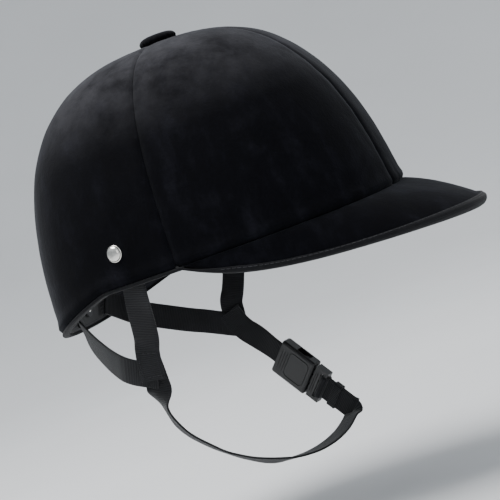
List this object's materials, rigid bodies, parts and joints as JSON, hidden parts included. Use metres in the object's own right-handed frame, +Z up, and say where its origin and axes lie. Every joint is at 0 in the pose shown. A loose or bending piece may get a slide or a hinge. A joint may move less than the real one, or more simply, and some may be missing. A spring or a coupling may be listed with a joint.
{
  "type": "equestrian riding helmet",
  "caption": "Velvet-covered riding helmet with a stiff peak, crown button, foam liner and a webbing harness closed by a side-release buckle.",
  "frame": {"origin": "centre of the head opening, in the level plane of the side rim", "axes": "+X forward over the peak, +Y to the wearer's left, +Z up through the crown"},
  "size_m": [0.3189, 0.2078, 0.3148],
  "materials": {
    "velvet": "black cotton velvet, short brushed pile, matt with a soft sheen",
    "shell_plastic": "moulded shell, matt",
    "foam": "expanded foam, fine bead texture",
    "pad_fabric": "soft foam pad faced with cloth",
    "lining": "charcoal woven lining, slight sheen",
    "sweatband": "padded brushed-fabric band",
    "binding_tape": "woven tape, matt",
    "peak_board": "stiff board, matt",
    "under_cloth": "plain cloth, matt",
    "nickel": "nickel plate, polished, lightly scratched",
    "steel": "plain steel washer",
    "webbing": "black ribbed webbing, matt",
    "buckle_plastic": "moulded acetal, satin",
    "elastic": "black elastic tape"
  },
  "bodies": {
    "root": {"velvet_front_right": "velvet", "velvet_front_left": "velvet", "velvet_rear_right": "velvet", "velvet_rear_left": "velvet", "crown_button": "velvet", "peak_top_cover": "velvet", "outer_shell": "shell_plastic", "impact_liner": "foam", "crown_pad": "pad_fabric", "head_lining": "lining", "headband": "sweatband", "rim_binding": "binding_tape", "peak_edge_binding": "binding_tape", "peak_core": "peak_board", "peak_under_cover": "under_cloth", "side_rivet_right": "nickel", "side_rivet_left": "nickel", "rear_rivet": "nickel", "side_rivet_washer_right": "steel", "side_rivet_washer_left": "steel", "rear_rivet_washer": "steel", "crown_button_washer": "steel", "front_strap_right": "webbing", "front_strap_left": "webbing", "rear_strap_right": "webbing", "rear_strap_left": "webbing", "strap_junction_right": "webbing", "strap_junction_left": "webbing", "rear_anchor": "buckle_plastic"},
    "chin_loop": {"chin_strap": "webbing", "chin_strap_left": "webbing", "buckle_housing": "buckle_plastic"},
    "buckle_tongue": {"buckle_tongue": "buckle_plastic", "buckle_webbing": "webbing", "strap_tail": "webbing"},
    "prong_front": {"buckle_prong_front": "buckle_plastic"},
    "prong_rear": {"buckle_prong_rear": "buckle_plastic"},
    "strap_keeper": {"strap_keeper": "elastic"}
  },
  "joints": [
    {"name": "chin_swing", "type": "hinge", "parent": "root", "child": "chin_loop", "pos_m": [-0.055, 0, -0.06], "axis": [0, -1, 0], "range_deg": [-15, 50]},
    {"name": "buckle_release", "type": "slide", "parent": "chin_loop", "child": "buckle_tongue", "axis": [0.6306, -0.2124, -0.7465], "range_m": [0, 0.03], "deforming": ["chin_strap", "buckle_prong_front", "buckle_prong_rear"]},
    {"name": "prong_front_squeeze", "type": "hinge", "parent": "buckle_tongue", "child": "prong_front", "pos_m": [-0.00063, 0.0632, -0.11415], "axis": [-0.3254, -0.9456, -0.0059], "range_deg": [0, 6], "stiffness_Nm_per_rad": 0.02},
    {"name": "prong_rear_squeeze", "type": "hinge", "parent": "buckle_tongue", "child": "prong_rear", "pos_m": [-0.01036, 0.0666, -0.12333], "axis": [0.3254, 0.9456, 0.0059], "range_deg": [0, 6], "stiffness_Nm_per_rad": 0.02},
    {"name": "keeper_slide", "type": "slide", "parent": "buckle_tongue", "child": "strap_keeper", "axis": [-0.6306, 0.2124, 0.7465], "range_m": [-0.005, 0.005]}
  ],
  "couplings": [
    {"joint": "prong_rear_squeeze", "follows": "prong_front_squeeze", "ratio": 1}
  ]
}
